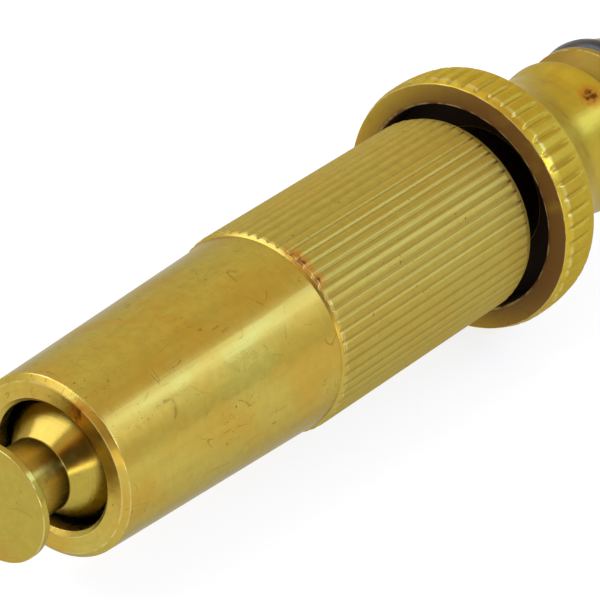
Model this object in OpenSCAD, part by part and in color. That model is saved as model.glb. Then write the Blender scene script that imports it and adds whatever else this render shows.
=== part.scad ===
// Adjustable twist nozzle for a garden hose.
// The barrel screws along the stem: forwards opens the mouth, backwards shuts it on the front seal.
// Millimetres. The nozzle lies along X, with the spray end at -X and the hose end at +X.
// The origin is on the axis, at the middle of the land in front of the hose seal.
// Inside along_axis(), z is the distance behind the barrel's front rim at rest.

/* [Barrel] */
// Length of the barrel
barrel_len = 58.1; // [56:0.1:62]
// Radius over the knurl
barrel_r = 10; // [9.8:0.05:10.3]
// Radius of the nose behind its front chamfer
nose_r = 8.7; // [8.4:0.05:9.2]
// Where the knurled grip starts
grip_start = 28.8; // [20:0.1:36]
// Number of straight knurl teeth
barrel_teeth = 57; // [40:1:72]
// Depth of the barrel's knurl
barrel_tooth = 0.22; // [0.15:0.01:0.3]
// Radius of the mouth
mouth_r = 6.16; // [6.14:0.01:6.25]
// Radius of the water chamber
chamber_r = 7.6; // [7.58:0.01:7.62]

/* [Spray pin] */
// Radius of the disc
disc_r = 5.63; // [4.8:0.01:6]
// Thickness of the disc
disc_t = 0.8; // [0.6:0.1:1.4]
// How far the disc stands out of the barrel
disc_out = 7.15; // [6.5:0.05:9]
// Radius of the neck
neck_r = 3.43; // [2.6:0.01:3.8]
// Largest radius of the flared cone
flare_r = 5.55; // [5.2:0.01:5.8]

/* [Screw motion] */
// Travel from rest to fully open
open_travel = 6; // [4:0.5:6]
// Travel from rest to shut
close_travel = 2; // [2:0.1:2]
// Outer radius of the stem's thread
thread_r = 8.35; // [8.3:0.01:8.38]

/* [Hose connector] */
// Gap between the barrel and the collar at rest
collar_gap = 1.65; // [1.3:0.05:2]
// Radius over the collar's knurl
collar_r = 12.9; // [12:0.1:14]
// Width of the collar, up to its shoulder
collar_w = 5.5; // [5:0.05:6]
// Number of collar teeth
collar_teeth = 52; // [36:1:60]
// Depth of the collar's knurl
collar_tooth = 0.35; // [0.2:0.05:0.4]
// Radius of the recess that takes the barrel's end
recess_r = 10.5; // [10.4:0.05:11]
// Radius of the waist between the shoulder and the locking ridge
waist_r = 7.6; // [7.4:0.05:7.7]
// Radius of the locking ridge
ridge_r = 8; // [7.95:0.05:8.3]
// Radius of the locking groove
groove_r = 6.6; // [6:0.1:7]
// Radius of the land in front of the hose seal
land_r = 7.85; // [7.8:0.05:7.9]
// Radius of the water inlet
inlet_r = 4.5; // [3.5:0.1:4.6]

/* [Hidden] */
$fn = 96;

brass = "#b5a145";
bright_brass = "#c2a94a";
rubber = "#1c1e1e";
steel = "#9a9da0";
fibre = "#7a3b2a";

// Fits
run_gap = 0.05;                              // running clearance on a radius
side_gap = 0.05;                             // clearance at each side of a seal or ring
crest_trim = 0.06;                           // what the blank's outline takes off a knurl's crests

// Barrel
rim_flat_r = 8.12;                           // outer edge of the flat front rim
rim_chamfer = 0.5;
mouth_chamfer = 0.4;
mouth_land = 1.6;                            // end of the mouth's straight wall
grip_root_r = barrel_r - barrel_tooth;
nose_end_r = grip_root_r - 0.15;             // the grip's tooth roots stand proud of the nose
grip_chamfer = 0.4;
rear_chamfer_w = 0.9;
rear_chamfer = barrel_tooth + 0.08;
chamber_end = 40;
thread_bore_r = thread_r + run_gap;

// Spray pin
pin_edge = 0.15;                             // broken edges of the disc
flare_start = -1.25;
flare_end = 1.7;
front_seal_z = 3.4;
front_seal_d = 2.0;                          // section of the front seal
front_seal_r = mouth_r - run_gap;            // drawn at the size it has when squeezed
front_groove_r = front_seal_r - front_seal_d;
pin_shoulder = 5.4;                          // the pin's back face sits on the stem here
pin_shoulder_r = 5.2;
pin_shank_r = 2.5;
pin_shank_end = 13.5;

// Stem
stem_nose_r = 5.2;
stem_land_r = chamber_r - 0.08;
stem_bore_r = 3.3;
stem_bore_start = 16;
port_r = 1.8;
port_z = 19;
ports = 4;
barrel_seal_z = 31.8;
barrel_seal_d = 1.7;
barrel_seal_r = chamber_r - run_gap;
barrel_groove_r = barrel_seal_r - barrel_seal_d;
stem_land_start = 29.4;
stem_land_end = 34.2;
stem_relief_r = 7.2;
thread_start = chamber_end + close_travel + 0.3;
thread_end = barrel_len - 8.6;
stem_neck_r = 6.6;
stem_end = barrel_len + 9.9;

// Retaining ring, held in the barrel's rear groove
ring_w = 1.2;
ring_z = thread_end + open_travel + 0.1;
ring_in_r = stem_neck_r + 0.15;
ring_out_r = thread_bore_r + 0.5;
ring_gap = 3;

// Connector
collar_z = barrel_len + collar_gap;
collar_end = collar_z + collar_w;
collar_face_r = collar_r - 0.45;
collar_chamfer = 0.65;
collar_crest_w = 2.85;                       // where the knurl's crests begin to fall
collar_fall = collar_tooth - 0.05;           // how far they fall
collar_round = 0.75;                         // width of the rounded edge behind them
collar_back_r = collar_r - 0.9;
recess_depth = 4.2;
washer_t = 1.2;
washer_gap = 0.3;                            // how much wider the washer's hole is than the inlet
washer_end = stem_end + washer_t;
shoulder_r = 10.3;                           // crease of the shoulder behind the collar
shoulder_z = collar_end + 2.35;
throat_r = 8.35;
throat_z = shoulder_z + 3.4;
ridge_z = collar_end + 12.6;                 // middle of the locking ridge
waist_z = ridge_z - 2.7;
ridge_half = 0.5;
ridge_crown = 0.04;                          // how much lower the ridge is at its sides
groove_z = ridge_z + 2.2;
groove_half = 0.5;
land_z = ridge_z + 4.15;                     // front of the land
land_w = 0.8;
origin_z = land_z + land_w / 2;
hose_seal_d = 3;
hose_seal_r = land_r + 0.2;
hose_groove_r = hose_seal_r - hose_seal_d;
hose_groove_half = hose_seal_d / 2 + side_gap;
seal_z = land_z + land_w + hose_groove_half; // middle of the hose seal
pilot_z = seal_z + hose_groove_half;
pilot_r = 7.25;
pilot_taper = 0.1;
pilot_end = pilot_z + 1.3;
tip_r = 6.6;
tip_z = pilot_end + 1.4;

// Turns local z to +X and puts the middle of the land at the origin
module along_axis() {
    translate([-origin_z, 0, 0])
        rotate([0, 90, 0])
            children();
}

// Turned solid from a closed outline of [radius, z] points
module lathe(outline) {
    rotate_extrude()
        polygon(outline);
}

// Round cutter from z0 to z1
module bore(r, z0, z1) {
    translate([0, 0, z0])
        cylinder(r = r, h = z1 - z0);
}

// O-ring with section d, outer radius r, centred at z
module o_ring(d, r, z) {
    rotate_extrude()
        translate([r - d / 2, z])
            circle(d = d, $fn = 48);
}

// Points of a toothed outline: flat is the share of each tooth at full height, 0 for pointed teeth
function toothed(teeth, tip, root, flat) = [
    for (i = [0 : teeth - 1], k = flat > 0 ? [-1, -flat, flat] : [-1, 0])
        let (r = k == -1 ? root : tip, a = (i + k / 2) * 360 / teeth)
            [r * cos(a), r * sin(a)]
];

// Straight knurled band: teeth a little too tall, trimmed by the outline of the turned blank
module knurl(teeth, tip, root, flat, z0, z1, outline) {
    intersection() {
        translate([0, 0, z0 - 1])
            linear_extrude(z1 - z0 + 2)
                polygon(toothed(teeth, tip + crest_trim, root, flat));
        lathe(outline);
    }
}

module barrel_outside() {
    knurl(barrel_teeth, barrel_r, grip_root_r, 0, 0, barrel_len, [
        [0, 0], [rim_flat_r, 0], [nose_r, rim_chamfer], [nose_end_r, grip_start],
        [barrel_r, grip_start + grip_chamfer], [barrel_r, barrel_len - rear_chamfer_w],
        [barrel_r - rear_chamfer, barrel_len], [0, barrel_len]
    ]);
}

module barrel_inside() {
    lathe([
        [0, -1], [mouth_r + mouth_chamfer + 1, -1], [mouth_r, mouth_chamfer], [mouth_r, mouth_land],
        [chamber_r, mouth_land + chamber_r - mouth_r], [chamber_r, chamber_end],
        [thread_bore_r, chamber_end], [thread_bore_r, ring_z - side_gap],
        [ring_out_r + run_gap, ring_z - side_gap],
        [ring_out_r + run_gap, ring_z + ring_w + side_gap],
        [thread_bore_r, ring_z + ring_w + side_gap], [thread_bore_r, barrel_len + 1],
        [0, barrel_len + 1]
    ]);
}

module barrel() {
    color(brass)
        along_axis()
            difference() {
                barrel_outside();
                barrel_inside();
            }
}

module spray_pin() {
    color(bright_brass)
        along_axis()
            lathe([
                [0, -disc_out], [disc_r - pin_edge, -disc_out], [disc_r, pin_edge - disc_out],
                [disc_r, disc_t - pin_edge - disc_out], [disc_r - pin_edge, disc_t - disc_out],
                [neck_r, disc_t - disc_out], [neck_r, flare_start], [flare_r, flare_end],
                [flare_r, front_seal_z - front_seal_d / 2 - side_gap],
                [front_groove_r, front_seal_z - front_seal_d / 2 - side_gap],
                [front_groove_r, front_seal_z + front_seal_d / 2 + side_gap],
                [pin_shoulder_r, front_seal_z + front_seal_d / 2 + side_gap],
                [pin_shoulder_r, pin_shoulder], [pin_shank_r, pin_shoulder],
                [pin_shank_r, pin_shank_end], [0, pin_shank_end]
            ]);
}

module front_seal() {
    color(rubber)
        along_axis()
            o_ring(front_seal_d, front_seal_r, front_seal_z);
}

module stem_outside() {
    lathe([
        [0, pin_shoulder], [stem_nose_r, pin_shoulder],
        [stem_nose_r, stem_land_start - stem_land_r + stem_nose_r],
        [stem_land_r, stem_land_start],
        [stem_land_r, barrel_seal_z - barrel_seal_d / 2 - side_gap],
        [barrel_groove_r, barrel_seal_z - barrel_seal_d / 2 - side_gap],
        [barrel_groove_r, barrel_seal_z + barrel_seal_d / 2 + side_gap],
        [stem_land_r, barrel_seal_z + barrel_seal_d / 2 + side_gap],
        [stem_land_r, stem_land_end], [stem_relief_r, stem_land_end],
        [stem_relief_r, thread_start], [thread_r, thread_start],
        [thread_r, thread_end], [stem_neck_r, thread_end],
        [stem_neck_r, stem_end], [0, stem_end]
    ]);
}

module stem() {
    color(brass)
        along_axis()
            difference() {
                stem_outside();
                bore(pin_shank_r, pin_shoulder - 1, pin_shank_end);
                bore(stem_bore_r, stem_bore_start, stem_end + 1);
                for (i = [0 : ports - 1])
                    translate([0, 0, port_z])
                        rotate([0, 90, (i + 0.5) * 360 / ports])
                            cylinder(r = port_r, h = stem_nose_r + 1);
            }
}

module barrel_seal() {
    color(rubber)
        along_axis()
            o_ring(barrel_seal_d, barrel_seal_r, barrel_seal_z);
}

module retaining_ring() {
    color(steel)
        along_axis()
            difference() {
                bore(ring_out_r, ring_z, ring_z + ring_w);
                bore(ring_in_r, ring_z - 1, ring_z + ring_w + 1);
                translate([0, -ring_gap / 2, ring_z - 1])
                    cube([ring_out_r + 1, ring_gap, ring_w + 2]);
            }
}

module connector_washer() {
    color(fibre)
        along_axis()
            difference() {
                bore(stem_neck_r - 0.1, stem_end, washer_end);
                bore(inlet_r + washer_gap, stem_end - 1, washer_end + 1);
            }
}

// Collar, shoulder and click-on nose as one blank, with the knurl cut in the collar
module connector_outside() {
    knurl(collar_teeth, collar_r, collar_r - collar_tooth, 0.55, collar_z, tip_z, [
        [0, collar_z], [collar_face_r, collar_z], [collar_r, collar_z + collar_chamfer],
        [collar_r, collar_z + collar_crest_w], [collar_r - collar_fall, collar_end - collar_round],
        [collar_back_r, collar_end], [shoulder_r, shoulder_z], [throat_r, throat_z],
        [waist_r, waist_z], [ridge_r - ridge_crown, ridge_z - ridge_half], [ridge_r, ridge_z],
        [ridge_r - ridge_crown, ridge_z + ridge_half], [groove_r, groove_z - groove_half],
        [groove_r, groove_z + groove_half], [land_r, land_z], [land_r, land_z + land_w],
        [hose_groove_r, land_z + land_w], [hose_groove_r, pilot_z], [pilot_r, pilot_z],
        [pilot_r - pilot_taper, pilot_end], [tip_r, tip_z], [0, tip_z]
    ]);
}

module hose_connector() {
    color(brass)
        along_axis()
            difference() {
                connector_outside();
                bore(recess_r, collar_z - 1, collar_z + recess_depth);
                bore(stem_neck_r, collar_z, washer_end);
                bore(inlet_r, washer_end - 1, tip_z + 1);
            }
}

module hose_seal() {
    color(rubber)
        along_axis()
            o_ring(hose_seal_d, hose_seal_r, seal_z);
}

barrel();
spray_pin();
front_seal();
stem();
barrel_seal();
retaining_ring();
connector_washer();
hose_connector();
hose_seal();
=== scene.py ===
"""Looks of the twist hose nozzle: turned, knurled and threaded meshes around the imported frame.

The frame is in metres. Outlines below are in millimetres, as (x, radius, fillet) along the nozzle's axis,
and each piece's own x starts from the spray end of the CAD node that it replaces.
"""
import math

import bmesh
import bpy
import numpy as np
from mathutils import Matrix, Vector


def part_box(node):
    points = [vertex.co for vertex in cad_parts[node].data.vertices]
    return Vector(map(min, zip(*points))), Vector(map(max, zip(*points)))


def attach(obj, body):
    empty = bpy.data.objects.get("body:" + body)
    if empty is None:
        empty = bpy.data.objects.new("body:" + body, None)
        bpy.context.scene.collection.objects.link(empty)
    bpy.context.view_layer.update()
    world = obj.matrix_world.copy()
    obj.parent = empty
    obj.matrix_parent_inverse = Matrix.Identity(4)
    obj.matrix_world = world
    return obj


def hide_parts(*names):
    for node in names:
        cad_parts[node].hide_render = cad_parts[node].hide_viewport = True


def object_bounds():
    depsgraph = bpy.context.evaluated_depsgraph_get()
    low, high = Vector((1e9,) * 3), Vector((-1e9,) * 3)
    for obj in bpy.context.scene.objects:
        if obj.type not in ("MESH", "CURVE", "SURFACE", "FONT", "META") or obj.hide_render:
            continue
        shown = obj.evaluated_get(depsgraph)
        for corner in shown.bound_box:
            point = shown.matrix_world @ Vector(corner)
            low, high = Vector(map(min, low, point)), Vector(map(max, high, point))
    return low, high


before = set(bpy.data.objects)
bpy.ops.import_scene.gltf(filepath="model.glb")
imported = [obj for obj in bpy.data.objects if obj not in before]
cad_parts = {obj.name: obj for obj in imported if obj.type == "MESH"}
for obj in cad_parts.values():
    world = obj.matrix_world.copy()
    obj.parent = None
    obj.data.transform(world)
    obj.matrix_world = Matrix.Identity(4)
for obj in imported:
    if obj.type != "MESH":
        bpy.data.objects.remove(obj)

MM = 0.001
TURN = 2 * math.pi
cad_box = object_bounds()

# The viewing angle, round the row frame's origin, and the point that the camera looks at
AZIMUTH = math.radians(-52.36)
ELEVATION = math.radians(29.42)
LENS = 247.3
SENSOR = 36.0
DISTANCE = 352.8 * MM
RIM_TO_AIM = (21.49 * MM, 14.38 * MM)      # from the barrel's rim to the aim: right and up

BARREL_TEETH = 57
BARREL_TOOTH = 0.13
COLLAR_TEETH = 52
COLLAR_TOOTH = 0.24
COLUMNS_PER_TOOTH = 12
THREAD_LEAD = 2.0
THREAD_DEPTH = 0.7

# Direction of the dim opening in the studio that the nozzle is seen through
OPENING = (-0.60, -0.64, 0.48)


# ---------------------------------------------------------------- frame sizes, in millimetres

def front(node):
    """The spray end of a CAD node."""
    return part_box(node)[0].x / MM


def back(node):
    """The hose end of a CAD node."""
    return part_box(node)[1].x / MM


def radius(node):
    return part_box(node)[1].z / MM


# ---------------------------------------------------------------- mesh building

TIGHT = 0.35                # a fillet below this wears or gathers dirt
CURVE_ROWS = 7
GUARD = 1.6                 # how far from a corner its last plain row is, in fillets


def rounded(outline):
    """Rows (x, r, bend) of an outline whose corners become short curves. On tight corners bend is 1 outside,
    where the finish wears, and -1 inside, where dirt gathers."""
    points = np.array([corner[:2] for corner in outline], float)
    ahead = np.roll(points, -1, 0)
    area = np.sum(points[:, 0] * ahead[:, 1] - ahead[:, 0] * points[:, 1])
    rows = []
    for i, (x, r, *fillet) in enumerate(outline):
        here = points[i]
        if not fillet:
            rows.append((x, r, 0))
            continue
        before, after = points[i - 1] - here, ahead[i] - here
        to_before, to_after = np.linalg.norm(before), np.linalg.norm(after)
        cut = min(fillet[0], 0.45 * to_before, 0.45 * to_after)
        start, end = before / to_before * cut, after / to_after * cut
        turn = -(before[0] * after[1] - before[1] * after[0]) * area
        bend = (1 if turn > 0 else -1) * (fillet[0] < TIGHT)
        rows.append((*(here + start * min(GUARD, 0.49 * to_before / cut)), 0))
        for t in np.linspace(0, 1, CURVE_ROWS):
            rows.append((*(here + start * (1 - t) ** 2 + end * t ** 2), bend * math.sin(math.pi * t)))
        rows.append((*(here + end * min(GUARD, 0.49 * to_after / cut)), 0))
    return np.array(rows)


def split_spans(rows, spans, closed):
    """Adds rows so that no step is longer than its span's step. A span is x_low, x_high, r_low, r_high and
    step."""
    made = []
    count = len(rows)
    for i in range(count if closed else count - 1):
        a, b = rows[i], rows[(i + 1) % count]
        made.append(a)
        x, r = (a + b)[:2] / 2
        for x_low, x_high, r_low, r_high, step in spans:
            if x_low <= x <= x_high and r_low <= r <= r_high:
                parts = max(1, math.ceil(np.linalg.norm((b - a)[:2]) / step))
                made += [a + (b - a) * k / parts for k in range(1, parts)]
                break
    if not closed:
        made.append(rows[-1])
    return np.array(made)


def lathe(name, outline, columns, closed=True, spans=(), shape=None, reflection_spots=()):
    """A turned mesh with point attributes: wear, from 0 to 1 on worn edges; a level of dirt and painted
    shade, from 0 to 1 where dirt gathers and up to 2 where painted shade turns it brown and black; grip, 1
    on a knurl;
    and spots of painted reflection. shape(x, r, angle) gives the true radius, the level of dirt and painted
    shade, and the grip. A spot of painted reflection is its x, its angle in degrees, its half length and its
    half width in degrees. An open outline starts and ends on the axis."""
    rows = split_spans(rounded(outline), spans, closed)
    count = len(rows)
    angle = np.arange(columns) * TURN / columns
    x, r, bend = (np.repeat(rows[:, k:k + 1], columns, 1) for k in range(3))
    recess, grip = np.clip(-bend, 0, 1), np.zeros_like(r)
    if shape:
        r, shape_dirt_and_shade, grip = shape(x, r, np.broadcast_to(angle, x.shape))
        recess = np.maximum(recess, shape_dirt_and_shade)
    # Painted reflection: spots that fade out from their centres
    painted_reflection = np.zeros_like(r)
    for spot_x, degrees, half_length, half_width in reflection_spots:
        turn = (angle - math.radians(degrees) + math.pi) % TURN - math.pi
        off = np.hypot((x - spot_x) / half_length, turn / math.radians(half_width))
        painted_reflection = np.maximum(painted_reflection, 1 - off)
    points = np.stack([x, r * np.sin(angle), r * np.cos(angle)], -1).reshape(-1, 3) * MM
    index = np.arange(count * columns).reshape(count, columns)
    if not closed:
        index[0] = index[0, 0]
        index[-1] = index[-1, 0]
    faces = []
    for i in range(count if closed else count - 1):
        here, there = index[i].tolist(), index[(i + 1) % count].tolist()
        for j in range(columns):
            k = (j + 1) % columns
            face = [here[j], there[j], there[k], here[k]]
            if face[0] == face[3]:
                face = face[:3]
            elif face[1] == face[2]:
                face = [face[0], face[1], face[3]]
            faces.append(face)
    mesh = bpy.data.meshes.new(name)
    mesh.from_pydata(points.tolist(), [], faces)
    layers = {"wear": np.clip(bend, 0, 1), "recess": recess, "grip": grip, "painted_reflection": painted_reflection}
    for label, values in layers.items():
        attribute = mesh.attributes.new(label, "FLOAT", "POINT")
        attribute.data.foreach_set("value", values.astype(np.float32).ravel())
    clean(mesh)
    piece = bpy.data.objects.new(name, mesh)
    bpy.context.scene.collection.objects.link(piece)
    return piece


def clean(mesh):
    """Drops loose points, turns every face outwards and shades the mesh smooth."""
    work = bmesh.new()
    work.from_mesh(mesh)
    bmesh.ops.delete(work, geom=[v for v in work.verts if not v.link_faces], context="VERTS")
    bmesh.ops.recalc_face_normals(work, faces=work.faces)
    for face in work.faces:
        face.smooth = True
    work.to_mesh(mesh)
    work.free()


def cut_away(piece, tools):
    """Cuts the tool objects out of a piece for good, and drops them."""
    for tool in tools:
        cut = piece.modifiers.new("cut", "BOOLEAN")
        cut.operation = "DIFFERENCE"
        cut.solver = "EXACT"
        cut.object = tool
    bpy.context.view_layer.update()
    made = bpy.data.meshes.new_from_object(piece.evaluated_get(bpy.context.evaluated_depsgraph_get()))
    piece.modifiers.clear()
    piece.data = made
    for tool in tools:
        bpy.data.objects.remove(tool)


def wobble(angle, turns, seed):
    """A smooth repeatable unevenness round the axis, from -1 to 1."""
    return sum(
        np.sin((turns * k + k - 1) * angle + seed * phase)
        for k, phase in ((1, 1.0), (2, 2.3), (3, 4.1))
    ) / 3


def tooth_height(angle, teeth, land):
    """Height of a straight knurl from 0 in the groove to 1 on the crest; land is the crest's share."""
    phase = np.abs(((angle * teeth / TURN) % 1.0) - 0.5) * 2      # 0 at the crest's middle, 1 in the groove
    rise = np.clip((1 - phase) / (1 - land), 0, 1)
    return 0.5 - 0.5 * np.cos(math.pi * rise)


def thread_height(x, angle, start, end):
    """A right-hand thread's form from 0 at its root to 1 at its crest, fading in and out at its ends."""
    phase = ((x - THREAD_LEAD * angle / TURN) / THREAD_LEAD) % 1.0
    form = np.clip((0.5 - np.abs(phase - 0.5)) * 4 - 0.5, 0, 1)
    return form * np.clip(np.minimum(x - start, end - x) / 0.6, 0, 1)


# ---------------------------------------------------------------- pieces

def make_barrel():
    x0, x1, top = front("barrel"), back("barrel"), radius("barrel")
    length = x1 - x0
    root = top - BARREL_TOOTH
    grip, chamfer, run = 28.8, 0.3, 0.55             # where the knurl starts, and how its teeth rise there
    fade, rear = 2.4, 0.9                            # from the rear end: the uneven part, the last slope
    bore, ring_groove, chamber, mouth = 8.40, 8.95, 7.6, 6.16
    thread_wall, ring_start, ring_end = 40, 55.62, 56.98
    outline = [
        (0, 6.58, 0.06), (0, 8.12, 0.10), (0.5, 8.70, 0.10), (grip, root - 0.22, 0.05),
        (grip + chamfer, root + 0.02, 0.05), (grip + run, top, 0.1),
        (length - fade, top), (length - rear, top), (length, top - 0.3, 0.06),
        (length, 8.75, 0.1), (length - 0.35, bore, 0.05),
        (ring_end, bore), (ring_end, ring_groove), (ring_start, ring_groove), (ring_start, bore),
        (thread_wall, bore, 0.1), (thread_wall, chamber, 0.1), (3.04, chamber, 0.2),
        (1.6, mouth, 0.15), (0.42, mouth, 0.06),
    ]
    outline = [(x0 + x, r, *fillet) for x, r, *fillet in outline]
    spans = [
        (x0 + 1, x0 + grip - 0.1, 8.65, root, 3.0),
        (x0 + grip - 0.1, x0 + grip + chamfer + 0.05, root - 0.25, top + 0.1, 0.03),
        (x0 + grip + chamfer, x0 + grip + run + 0.1, root - 0.1, top + 0.1, 0.1),
        (x0 + grip + run, x1 - fade, root, top + 0.1, 1.2),
        (x1 - fade, x1, root - 0.3, top + 0.1, 0.07),
        (x0 + thread_wall, x0 + 55.6, bore - 0.1, bore + 0.1, 0.16),
    ]

    def shape(x, r, angle):
        height = tooth_height(angle, BARREL_TEETH, 0.35)
        uneven = 0.008 * (1 + wobble(angle, 5, 1.3)) * height
        burr = 0.07 * np.clip(1 - (x - x0 - grip) / 0.9, 0, 1) * (1 + wobble(angle, 23, 0.4))
        teeth = root + BARREL_TOOTH * height - uneven - burr * (1 - height)
        on_grip = (r > root - 0.23) & (x > x0 + grip - 0.01)
        cut = np.where(on_grip, np.minimum(r, teeth), r)
        near_rear = np.clip((x - x1 + 2.2) / 2.0, 0, 1)
        # Dirt in the knurl's grooves; towards the rear end the upper side is painted darker still, painted
        # shade beside the gap to the collar
        upper_shade = np.clip(np.cos(angle + math.radians(35)), 0, 1)
        groove = (1 - height) * (0.75 + 0.45 * near_rear * upper_shade) + 0.45 * near_rear * upper_shade
        recess = np.where(on_grip & (r > root - 0.05), np.minimum(1.3, groove), 0)
        inside = (np.abs(r - bore) < 0.001) & (x > x0 + thread_wall + 0.1) & (x < x0 + 55.5)
        thread = thread_height(x, angle, x0 + thread_wall + 0.3, x0 + 55.0)
        ground = np.clip((x - x0 - grip) / (2 * chamfer), 0, 1)
        return np.where(inside, r - THREAD_DEPTH * (1 - thread), cut), recess, on_grip * ground

    # Painted reflections, orange with dark cores:
    reflection_spots = [
        (x0 + grip + 0.62, -26, 0.75, 15),           # two where the knurl starts
        (x0 + grip + 0.65, -40, 0.7, 7),
        (x0 - 0.35, -28, 0.95, 13),                  # one on the rim of the mouth
    ]
    return lathe(
        "turned_barrel", outline, BARREL_TEETH * COLUMNS_PER_TOOTH, spans=spans, shape=shape, reflection_spots=reflection_spots)


def make_pin():
    x0 = front("spray_pin")
    disc, neck, flare, shank = 5.63, 3.43, 5.55, 2.5
    outline = [
        (0, 0), (0, 1.5), (0, disc, 0.12), (0.8, disc, 0.2), (0.8, neck, 0.15),
        (5.9, neck, 0.10), (8.85, flare, 0.10), (9.5, flare, 0.08), (9.5, 4.11, 0.05),
        (11.6, 4.11, 0.05), (11.6, 5.2, 0.08), (12.55, 5.2, 0.08), (12.55, shank, 0.05),
        (20.65, shank, 0.3), (20.65, 0),
    ]
    return lathe("turned_pin", [(x0 + x, r, *fillet) for x, r, *fillet in outline], 256, closed=False)


def make_connector():
    x0, top = front("hose_connector"), radius("hose_connector")
    root = top - COLLAR_TOOTH
    knurl_end, land, seal_groove, inlet, socket = 5.5, 7.85, 5.05, 4.5, 6.6
    outline = [
        (0, 10.5, 0.3), (0, top - 0.3, 0.08), (0.8, top, 0.3), (2.85, top, 0.8),
        (4.75, top - 0.3, 0.6), (knurl_end, top - 0.9, 1.0), (7.85, 10.3, 0.9), (11.25, 8.35, 1.6),
        (15.4, 7.6, 1.6), (17.6, 7.96, 0.9), (18.1, 8.0), (18.6, 7.96, 0.4), (19.8, 6.6, 0.5),
        (20.8, 6.6, 0.4), (22.25, land, 0.12), (23.05, land, 0.12), (23.05, seal_groove, 0.1),
        (26.15, seal_groove, 0.1), (26.15, 7.25, 0.1), (27.45, 7.15, 0.3), (28.85, 6.6, 0.35),
        (28.85, 4.75, 0.15), (28.55, inlet, 0.1), (9.45, inlet, 0.05), (9.45, socket, 0.05),
        (4.2, socket, 0.1), (4.2, 10.5, 0.3),
    ]
    outline = [(x0 + x, r, *fillet) for x, r, *fillet in outline]
    spans = [
        (x0, x0 + 0.8, root - 0.2, top + 0.1, 0.05),
        (x0 + 0.8, x0 + knurl_end + 1, root - 1.5, top + 0.1, 0.12),
    ]

    def shape(x, r, angle):
        height = tooth_height(angle, COLLAR_TEETH, 0.5)
        along = x - x0
        fade = np.clip((knurl_end - 0.5 - along) / 1.6, 0, 1)
        outer = (r > 11) & (along < knurl_end)
        groove = COLLAR_TOOTH * (1 - height)
        teeth = np.where(along < 1.2, np.minimum(r, top - groove), r - groove * fade)
        cut = np.where(outer, teeth, r)
        # The collar's front face: some dirt, with painted shade darkening one side of it and its inner edge
        # by the recess
        face_shade_side = (0.5 + 0.5 * np.cos(angle + math.radians(65))) ** 2
        mouth_shadow = np.clip((11.2 - r) / 0.7, 0, 1)
        face = (along < 0.1) & (r > 10.4) & (r < top - 0.3)
        wall = (along < 4.4) & (r < 10.9) & (r > 6.7)
        stained = 0.6 + 0.4 * face_shade_side + 0.3 * mouth_shadow
        nose = 0.72 * ((along > 19.3) & (along < 23.1) & (r > 6.5))
        # The knurl's grooves gather dirt; the recess wall is painted shade, dark brown at its mouth and
        # black deeper in
        recess = (r - cut) / COLLAR_TOOTH * 0.62 + np.where(wall & ~face, 1.0 + 0.2 * along, face * stained)
        recess = np.maximum(recess, nose)
        return cut, recess, outer * np.clip((along - 0.8) * 4, 0, 1)

    # A painted orange reflection with a dark core on the waist behind the collar
    return lathe(
        "turned_connector", outline, COLLAR_TEETH * COLUMNS_PER_TOOTH, spans=spans, shape=shape,
        reflection_spots=[(x0 + 16.4, -31, 1.9, 14)])


def make_stem():
    x0, length, thread_top = front("stem"), back("stem") - front("stem"), radius("stem")
    nose, shank, bore, neck, land, relief = 5.2, 2.5, 3.3, 6.6, 7.52, 7.2
    thread_start, thread_end = 36.9, 44.1
    outline = [
        (8.1, 0), (8.1, shank, 0.1),
        (0, shank, 0.1), (0, nose, 0.15), (21.6, nose, 0.3), (24.0, land, 0.2),
        (25.5, land, 0.05), (25.5, 5.85, 0.1), (27.3, 5.85, 0.1), (27.3, land, 0.05),
        (28.8, land, 0.1), (28.8, relief, 0.1), (thread_start, relief), (thread_start, thread_top),
        (thread_end, thread_top), (thread_end, neck), (length - 0.3, neck), (length, neck - 0.3, 0.05),
        (length, bore, 0.1), (10.6, bore), (10.6, 0),
    ]
    outline = [(x0 + x, r, *fillet) for x, r, *fillet in outline]
    spans = [(x0 + thread_start, x0 + thread_end, thread_top - 0.1, thread_top + 0.1, 0.16)]

    def shape(x, r, angle):
        form = thread_height(x, angle + math.pi, x0 + thread_start, x0 + thread_end)
        cut = np.where(np.abs(r - thread_top) < 0.001, r - THREAD_DEPTH * (1 - form), r)
        # Behind its thread the stem is painted near black: painted shade in the gap between barrel and
        # collar
        return cut, 1.6 * (x > x0 + thread_end - 0.5), np.zeros_like(r)

    stem = lathe("turned_stem", outline, 192, closed=False, spans=spans, shape=shape)
    port_x, port_r, ports = 13.6, 1.8, 4
    drills = []
    for i in range(ports):
        a = (i + 0.5) * TURN / ports
        out = Vector((0, math.sin(a), math.cos(a)))
        rod = [(0, 0), (0, port_r), (nose + 1, port_r), (nose + 1, 0)]
        drill = lathe(f"drill_{i}", rod, 48, closed=False)
        drill.rotation_mode = "QUATERNION"
        drill.rotation_quaternion = out.to_track_quat("X", "Z")
        drill.location = ((x0 + port_x) * MM, 0, 0)
        drills.append(drill)
    cut_away(stem, drills)
    return stem


def make_o_ring(name, node):
    """An O-ring in place of a CAD ring, with the faint parting line of its mould."""
    x0, x1, top = front(node), back(node), radius(node)
    centre, section = (x0 + x1) / 2, x1 - x0
    steps, line = 40, 0.012
    outline = []
    for k in range(steps):
        a = TURN * k / steps
        flash = line if k in (0, steps // 2) else 0
        outline.append((
            centre + section / 2 * math.sin(a),
            top - section / 2 + (section / 2 - line + flash) * math.cos(a),
        ))
    return lathe(name, outline, 192)


def make_washer():
    x0, x1, top = front("connector_washer"), back("connector_washer"), radius("connector_washer")
    hole, edge = 4.8, 0.15
    outline = [(x0, hole, edge), (x0, top, edge), (x1, top, edge), (x1, hole, edge)]
    return lathe("pressed_washer", outline, 144)


# ---------------------------------------------------------------- material nodes

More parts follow.
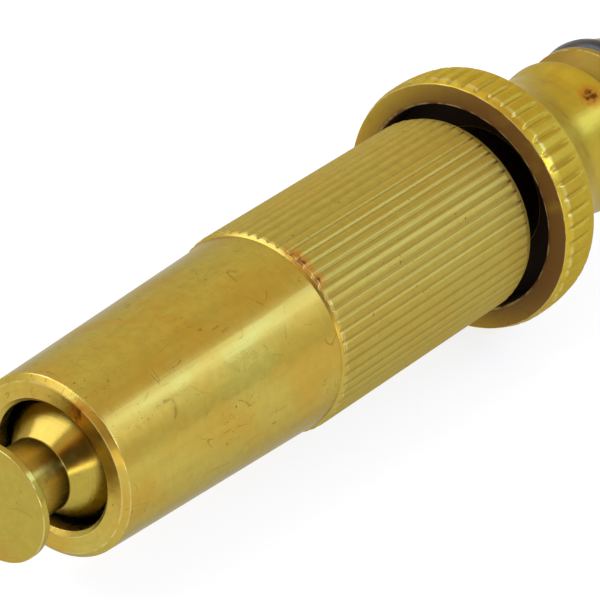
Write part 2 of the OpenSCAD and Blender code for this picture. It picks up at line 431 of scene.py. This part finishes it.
class Nodes:
    """Short calls for adding nodes to a tree."""

    def __init__(self, tree):
        self.tree = tree

    def add(self, kind, inputs=(), **settings):
        node = self.tree.nodes.new(kind)
        for key, value in settings.items():
            setattr(node, key, value)
        self.set(node, inputs)
        return node

    def set(self, node, inputs):
        for key, value in dict(inputs).items():
            if isinstance(value, bpy.types.NodeSocket):
                self.tree.links.new(value, node.inputs[key])
            else:
                node.inputs[key].default_value = value

    def maths(self, operation, a, b=0.0):
        return self.add("ShaderNodeMath", {0: a, 1: b}, operation=operation).outputs[0]

    def vector(self, operation, a, b, output="Vector"):
        return self.add("ShaderNodeVectorMath", {0: a, 1: b}, operation=operation).outputs[output]


class MaterialNodes(Nodes):
    """A material and the nodes that it is built from. Lengths are in millimetres."""

    def __init__(self, name):
        self.material = bpy.data.materials.new(name)
        self.material.use_nodes = True
        super().__init__(self.material.node_tree)
        self.shader = self.tree.nodes["Principled BSDF"]
        metres = self.add("ShaderNodeTexCoord").outputs["Object"]
        self.point = self.vector("MULTIPLY", metres, (1 / MM,) * 3)
        split = self.add("ShaderNodeSeparateXYZ", {0: self.point}).outputs
        self.x = split["X"]
        squares = [self.maths("MULTIPLY", split[axis], split[axis]) for axis in "YZ"]
        self.r = self.maths("POWER", self.maths("ADD", *squares), 0.5)

    def step(self, value, low, high):
        """0 below low and 1 above high, smoothly; low may be above high."""
        node = self.add("ShaderNodeMapRange", {"Value": value}, interpolation_type="SMOOTHSTEP")
        self.set(node, {"From Min": low, "From Max": high})
        return node.outputs["Result"]

    def noise(self, point, per_mm, detail=3.0, rough=0.5, distortion=0.0):
        return self.add("ShaderNodeTexNoise", {
            "Vector": point, "Scale": per_mm, "Detail": detail, "Roughness": rough, "Distortion": distortion,
        }).outputs["Fac"]

    def lines(self, along, per_mm, detail=3.0, rough=0.6):
        """Noise in one direction only, which makes turning lines."""
        return self.add("ShaderNodeTexNoise", {
            "W": along, "Scale": per_mm, "Detail": detail, "Roughness": rough,
        }, noise_dimensions="1D").outputs["Fac"]

    def mix(self, factor, a, b):
        """A mix of two colours, whose sockets on the node are inputs 6 and 7 and output 2."""
        return self.add("ShaderNodeMix", {0: factor, 6: a, 7: b}, data_type="RGBA").outputs[2]

    def attribute(self, name):
        return self.add("ShaderNodeAttribute", attribute_name=name).outputs["Fac"]

    def bump(self, height, depth_mm, normal=None):
        node = self.add("ShaderNodeBump", {"Height": height, "Distance": depth_mm * MM})
        if normal:
            self.set(node, {"Normal": normal})
        return node.outputs["Normal"]

    def hairs(self, squeeze, per_mm, width, share):
        """Thin scratches: short stretches of the level lines of a noise, drawn out along one axis."""
        drawn = self.vector("MULTIPLY", self.point, squeeze)
        level = self.maths(
            "ABSOLUTE", self.maths("SUBTRACT", self.noise(drawn, per_mm, 0.0, 0.5, 0.7), 0.5))
        where = self.noise(self.vector("ADD", self.point, squeeze), 0.55, 1.0)
        return self.maths(
            "MULTIPLY", self.step(level, width, 0.0), self.step(where, 1 - share, 1.04 - share))


# ---------------------------------------------------------------- materials

SPECK = (0.10, 0.055, 0.012, 1)
SCRATCH = (0.17, 0.10, 0.02, 1)
# Brown of dirt, which also paints shade on the collar
DIRT_AND_SHADE_BROWN = (0.12, 0.052, 0.013, 1)
# Colours of painted shade: brown, then black
SHADE_BROWN = (0.10, 0.038, 0.012, 1)
SHADE_BLACK = (0.028, 0.014, 0.007, 1)
# Colours of painted reflection: orange, and its dark core
REFLECTION_ORANGE = (0.50, 0.19, 0.025, 1)
REFLECTION_DARK = (0.09, 0.03, 0.01, 1)
WORN = (0.66, 0.55, 0.22, 1)


def turned_metal(name, base, warm, roughness, stains=0.5, lines=0.005, hairs=0.5, specks=0.7,
                 dirt_and_shade_strength=0.45, grip_rough=0.2, grain=0.016, dull=0.62):
    """Turned brass: patches from base to warm, dirt in recesses, painted shade in brown and black, worn
    edges, painted orange reflections, turning lines, specks and hair scratches. dull dims what the metal
    mirrors at a low angle."""
    n = MaterialNodes(name)
    patch = n.step(n.noise(n.point, 0.085, 4.0, 0.6, 0.5), 0.42, 0.62)
    mottle = n.noise(n.point, 1.1, 3.0)
    smear = n.noise(n.vector("MULTIPLY", n.point, (0.05, 1.0, 1.0)), 1.2, 2.0)
    cuts = n.lines(n.maths("ADD", n.x, n.r), 3.2, 4.0, 0.75)
    recess = n.attribute("recess")
    wear = n.attribute("wear")
    grip = n.attribute("grip")
    plain = n.maths("SUBTRACT", 1.0, grip)

    on_plain = n.maths("SUBTRACT", stains, n.maths("MULTIPLY", grip, 0.6 * stains))
    stained = n.maths("MULTIPLY", patch, on_plain)
    colour = n.mix(stained, (*base, 1), (*warm, 1))
    shade = n.maths("ADD", n.maths("MULTIPLY", mottle, 0.22), n.maths("MULTIPLY", cuts, 0.14))
    smear = n.maths("MULTIPLY", smear, plain)
    shade = n.maths("ADD", n.maths("MULTIPLY", smear, 0.16), shade)
    grey = n.maths("ADD", 0.74, shade)
    colour = n.vector("MULTIPLY", colour, grey)

    clusters = n.step(n.noise(n.point, 0.2, 2.0), 0.5, 0.62)
    pits = n.maths("MULTIPLY", n.step(n.noise(n.point, 2.4, 2.0, 0.6), 0.66, 0.73), clusters)
    pits = n.maths("MULTIPLY", pits, specks)
    colour = n.mix(pits, colour, SPECK)
    long_hairs = n.hairs((0.35, 1.0, 0.8), 0.44, 0.010, 0.44)
    cross_hairs = n.hairs((0.9, 0.5, 0.4), 0.34, 0.009, 0.43)
    scratch = n.maths("MAXIMUM", long_hairs, cross_hairs)
    scratch = n.maths("MULTIPLY", scratch, n.maths("MULTIPLY", plain, hairs))
    colour = n.mix(scratch, colour, SCRATCH)

    # Dirt where it gathers; on the collar's face and recess wall and in the barrel's rear grooves the same
    # brown is painted shade
    dirt = n.maths("MULTIPLY", n.step(recess, 0.4, 0.95), n.step(n.noise(n.point, 0.25, 3.0), 0.05, 0.45))
    dirt = n.maths("MULTIPLY", dirt, dirt_and_shade_strength)
    colour = n.mix(dirt, colour, DIRT_AND_SHADE_BROWN)
    # Painted shade: levels above 1 turn brown and then black, in the collar's recess, on the stem behind the
    # barrel and by the barrel's rear end
    colour = n.mix(n.step(recess, 1.0, 1.3), colour, SHADE_BROWN)
    colour = n.mix(n.step(recess, 1.25, 1.7), colour, SHADE_BLACK)
    # Painted reflection: orange at the spots, with dark cores broken up by noise
    reflection_breakup = n.maths("ADD", 0.1, n.maths("MULTIPLY", n.noise(n.point, 1.9, 3.0), 1.7))
    painted_reflection = n.maths("MULTIPLY", n.attribute("painted_reflection"), reflection_breakup)
    colour = n.mix(n.maths("MULTIPLY", n.step(painted_reflection, 0.05, 0.6), 0.75), colour, REFLECTION_ORANGE)
    colour = n.mix(n.maths("MULTIPLY", n.step(painted_reflection, 0.5, 0.85), 0.9), colour, REFLECTION_DARK)
    worn = n.maths("MULTIPLY", wear, n.step(n.noise(n.point, 0.8, 2.0), 0.35, 0.6))
    colour = n.mix(n.maths("MULTIPLY", worn, 0.6), colour, WORN)

    rough = n.maths("ADD", roughness - 0.08, n.maths("MULTIPLY", mottle, 0.15))
    rough = n.maths("ADD", rough, n.maths("MULTIPLY", stained, 0.08))
    rough = n.maths("ADD", rough, n.maths("MULTIPLY", n.maths("MAXIMUM", dirt, pits), 0.2))
    rough = n.maths("ADD", rough, n.maths("MULTIPLY", grip, grip_rough))
    normal = n.bump(smear, grain)
    normal = n.bump(cuts, lines, normal)
    normal = n.bump(n.maths("MAXIMUM", pits, scratch), -0.004, normal)
    tangent = n.add("ShaderNodeTangent", direction_type="RADIAL", axis="X").outputs[0]
    n.set(n.shader, {
        "Base Color": colour, "Metallic": n.maths("SUBTRACT", 1.0, dirt),
        "Roughness": rough, "Normal": normal,
        "Specular IOR Level": 0.12, "Specular Tint": (dull, dull, dull * 0.95, 1),
        "Anisotropic": 0.65, "Anisotropic Rotation": 0.25, "Tangent": tangent,
    })
    return n.material


def moulded_rubber(name):
    n = MaterialNodes(name)
    film = n.step(n.noise(n.point, 0.5, 4.0, 0.6), 0.42, 0.75)
    grain = n.noise(n.point, 9.0, 3.0)
    colour = n.mix(n.maths("MULTIPLY", film, 0.5), (0.010, 0.011, 0.012, 1), (0.035, 0.037, 0.036, 1))
    n.set(n.shader, {
        "Base Color": colour,
        "Roughness": n.maths("ADD", 0.26, n.maths("MULTIPLY", film, 0.22)),
        "Normal": n.bump(grain, 0.004),
    })
    return n.material


def pressed_fibre(name):
    n = MaterialNodes(name)
    strands = n.noise(n.vector("MULTIPLY", n.point, (6.0, 1.0, 1.0)), 2.0, 5.0, 0.7, 1.5)
    n.set(n.shader, {
        "Base Color": n.mix(n.step(strands, 0.3, 0.7), (0.20, 0.035, 0.018, 1), (0.34, 0.09, 0.045, 1)),
        "Roughness": 0.75,
        "Normal": n.bump(strands, 0.03),
    })
    return n.material


def spring_steel(name):
    n = MaterialNodes(name)
    drawn = n.lines(n.r, 9.0, 4.0, 0.8)
    n.set(n.shader, {
        "Base Color": n.mix(drawn, (0.42, 0.43, 0.44, 1), (0.62, 0.62, 0.62, 1)),
        "Metallic": 1.0,
        "Roughness": n.maths("ADD", 0.22, n.maths("MULTIPLY", drawn, 0.15)),
        "Normal": n.bump(drawn, 0.006),
    })
    return n.material


# ---------------------------------------------------------------- stage

def way_to_camera():
    return Vector((
        math.sin(AZIMUTH) * math.cos(ELEVATION),
        -math.cos(AZIMUTH) * math.cos(ELEVATION),
        math.sin(ELEVATION),
    ))


def make_camera():
    back_way = way_to_camera()
    right = Vector((math.cos(AZIMUTH), math.sin(AZIMUTH), 0))
    up = back_way.cross(right)
    rim = Vector((front("barrel") * MM, 0, 0))
    aim = rim + right * RIM_TO_AIM[0] + up * RIM_TO_AIM[1]
    data = bpy.data.cameras.new("camera")
    data.lens = LENS
    data.sensor_width = SENSOR
    data.clip_start = 0.01
    camera = bpy.data.objects.new("camera", data)
    camera.location = aim + back_way * DISTANCE
    camera.rotation_mode = "QUATERNION"
    camera.rotation_quaternion = (-back_way).to_track_quat("-Z", "Y")
    bpy.context.scene.collection.objects.link(camera)
    bpy.context.scene.camera = camera


def make_floor():
    """A white light table: it glows a little, so that the shadow on it stays faint."""
    n = MaterialNodes("light_table")
    n.set(n.shader, {
        "Base Color": (0.30, 0.30, 0.30, 1), "Roughness": 0.9, "Specular IOR Level": 0.0,
        "Emission Color": (0.98, 0.99, 1.0, 1), "Emission Strength": 0.79,
    })
    mesh = bpy.data.meshes.new("floor")
    low, half = cad_box[0].z, 1.5
    corners = [(-half, -half), (half, -half), (half, half), (-half, half)]
    mesh.from_pydata([(x, y, low) for x, y in corners], [], [(0, 1, 2, 3)])
    mesh.materials.append(n.material)
    floor = bpy.data.objects.new("floor", mesh)
    bpy.context.scene.collection.objects.link(floor)


def soft_box(name, way, along, distance, size, radiance, colour=(1, 1, 1)):
    """A rectangular soft light, seen from the origin in direction way, with its length turned to along."""
    way = Vector(way).normalized()
    along = (Vector(along) - way * way.dot(Vector(along))).normalized()
    data = bpy.data.lights.new(name, "AREA")
    data.shape = "RECTANGLE"
    data.size, data.size_y = size
    data.energy = radiance * math.pi * size[0] * size[1]
    data.color = colour
    light = bpy.data.objects.new(name, data)
    light.matrix_world = Matrix((along, way.cross(along), way)).transposed().to_4x4()
    light.location = way * distance
    bpy.context.scene.collection.objects.link(light)


def make_world():
    """A white studio: warm wall above and behind, a dim gap above the table, and the dim opening that the
    nozzle is seen through."""
    world = bpy.data.worlds.new("studio")
    bpy.context.scene.world = world
    world.use_nodes = True
    n = Nodes(world.node_tree)

    def ramp(value, stops):
        node = n.add("ShaderNodeValToRGB", {0: value})
        node.color_ramp.interpolation = "EASE"
        elements = node.color_ramp.elements
        while len(elements) < len(stops):
            elements.new(0.5)
        for element, (place, colour) in zip(elements, stops):
            element.position = place
            element.color = (*colour, 1)
        return node.outputs["Color"]

    way = n.add("ShaderNodeTexCoord").outputs["Generated"]
    split = n.add("ShaderNodeSeparateXYZ", {0: way}).outputs
    round_axis = n.maths("ARCTAN2", split["Y"], split["Z"])
    share = n.add("ShaderNodeMapRange", {
        "Value": round_axis, "From Min": -math.pi, "From Max": math.pi,
    }).outputs["Result"]
    sky = ramp(share, [
        (0.246, (0.62, 0.60, 0.57)), (0.253, (0.62, 0.60, 0.57)), (0.266, (0.92, 1.01, 1.05)),
        (0.34, (0.92, 0.98, 0.98)), (0.44, (0.92, 0.82, 0.62)), (0.60, (0.90, 0.80, 0.62)),
        (0.72, (0.98, 0.97, 0.94)), (0.80, (1.0, 1.0, 1.0)),
    ])
    opening = ramp(n.vector("DOT_PRODUCT", way, OPENING, "Value"), [
        (0.87, (1.0, 1.0, 1.0)), (0.91, (1.0, 0.55, 0.22)),
        (0.94, (0.32, 0.15, 0.08)), (0.97, (0.10, 0.07, 0.06)),
    ])
    n.set(n.tree.nodes["Background"], {"Color": n.vector("MULTIPLY", sky, opening), "Strength": 1.0})


# ---------------------------------------------------------------- the nozzle

def place(piece, body, node, slot, material):
    """Puts a new piece on its body in place of a CAD node."""
    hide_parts(node)
    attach(piece, body)
    piece.data.materials.clear()
    piece.data.materials.append(material)


bpy.context.scene.view_settings.view_transform = "Standard"
make_camera()
make_floor()
make_world()
soft_box("streak_light", (0.69, -0.49, 0.53), (1, 0, 0), 0.6, (0.8, 0.15), 1.55, (0.62, 1.0, 2.4))
soft_box("top_light", (-0.42, 0.50, 0.76), (0.69, 0.77, -0.19), 0.6, (0.7, 0.4), 2.2, (0.9, 1.0, 1.4))
soft_box("low_light", (-0.57, -0.82, 0.06), (1, -0.7, 0), 0.8, (1.0, 0.12), 2.2, (1.0, 0.98, 0.92))
soft_box("edge_light", (0.07, -0.85, 0.53), (1, 0, 0), 0.7, (0.16, 0.13), 11.0, (0.8, 1.0, 1.8))
soft_box("sky_light", (0.24, 0.28, 0.93), (0, 1, 0), 0.7, (0.25, 0.15), 0.8, (1.0, 0.95, 0.7))

barrel_brass = turned_metal(
    "barrel_brass", (0.46, 0.355, 0.066), (0.48, 0.29, 0.038), 0.27, stains=0.65)
pin_brass = turned_metal(
    "pin_brass", (0.39, 0.30, 0.048), (0.41, 0.24, 0.042), 0.20,
    stains=0.5, hairs=0.2, specks=0.5, lines=0.008, grain=0.002)
# The collar's high dirt strength also deepens the painted shade on its face and in its recess
collar_brass = turned_metal(
    "collar_brass", (0.50, 0.36, 0.035), (0.46, 0.27, 0.03), 0.34,
    hairs=0.3, specks=0.3, dirt_and_shade_strength=0.95, grip_rough=0.22)
rubber = moulded_rubber("black_rubber")
fibre = pressed_fibre("fibre")
steel = spring_steel("spring_steel")

core = "stem_assembly"
place(make_barrel(), "barrel", "barrel", "turned_brass", barrel_brass)
place(make_pin(), core, "spray_pin", "pin_brass", pin_brass)
place(make_stem(), core, "stem", "turned_brass", barrel_brass)
place(make_connector(), core, "hose_connector", "turned_brass", collar_brass)
place(make_o_ring("front_o_ring", "front_seal"), core, "front_seal", "black_rubber", rubber)
place(make_o_ring("barrel_o_ring", "barrel_seal"), core, "barrel_seal", "black_rubber", rubber)
place(make_o_ring("hose_o_ring", "hose_seal"), core, "hose_seal", "black_rubber", rubber)
place(make_washer(), core, "connector_washer", "fibre_washer", fibre)
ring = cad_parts["retaining_ring"]
ring.data.materials.clear()
ring.data.materials.append(steel)
